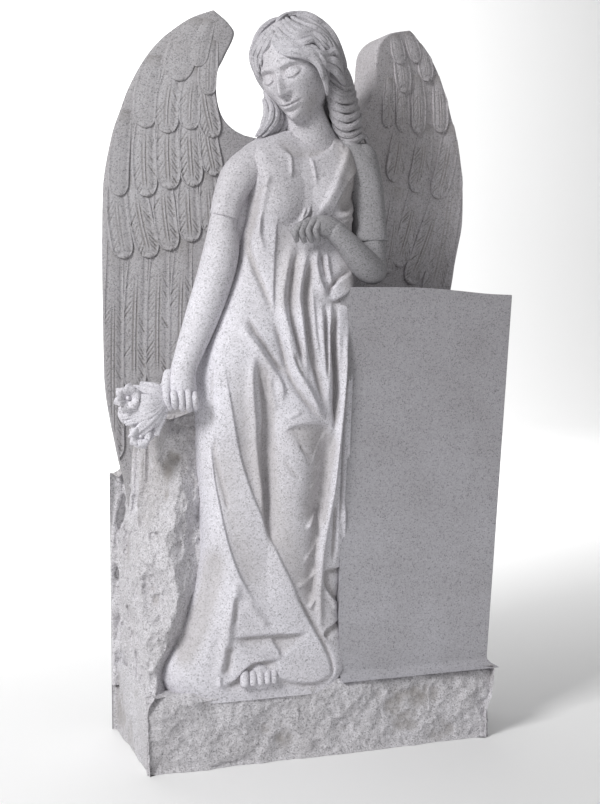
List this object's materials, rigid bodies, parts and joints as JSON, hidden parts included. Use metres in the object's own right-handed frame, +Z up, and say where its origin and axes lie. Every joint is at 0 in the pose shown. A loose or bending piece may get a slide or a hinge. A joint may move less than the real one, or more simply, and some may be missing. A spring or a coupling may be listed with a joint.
{
  "type": "angel headstone",
  "caption": "Upright carved granite headstone: a robed angel with raised wings rests an arm on a bare leaning tablet and holds flowers on a rough pillar, all on a rock-faced base.",
  "frame": {"origin": "middle of the flat underside of the base", "axes": "+Z up, -Y towards whoever faces the stone, +X to that person's right, on the tablet's side"},
  "size_m": [0.9099, 0.3598, 1.6222],
  "materials": {
    "granite": "fine-speckled light grey granite: honed tablet, rubbed figure, rock-pitched pillar and base"
  },
  "bodies": {
    "root": {"angel_headstone": "granite"}
  },
  "joints": []
}
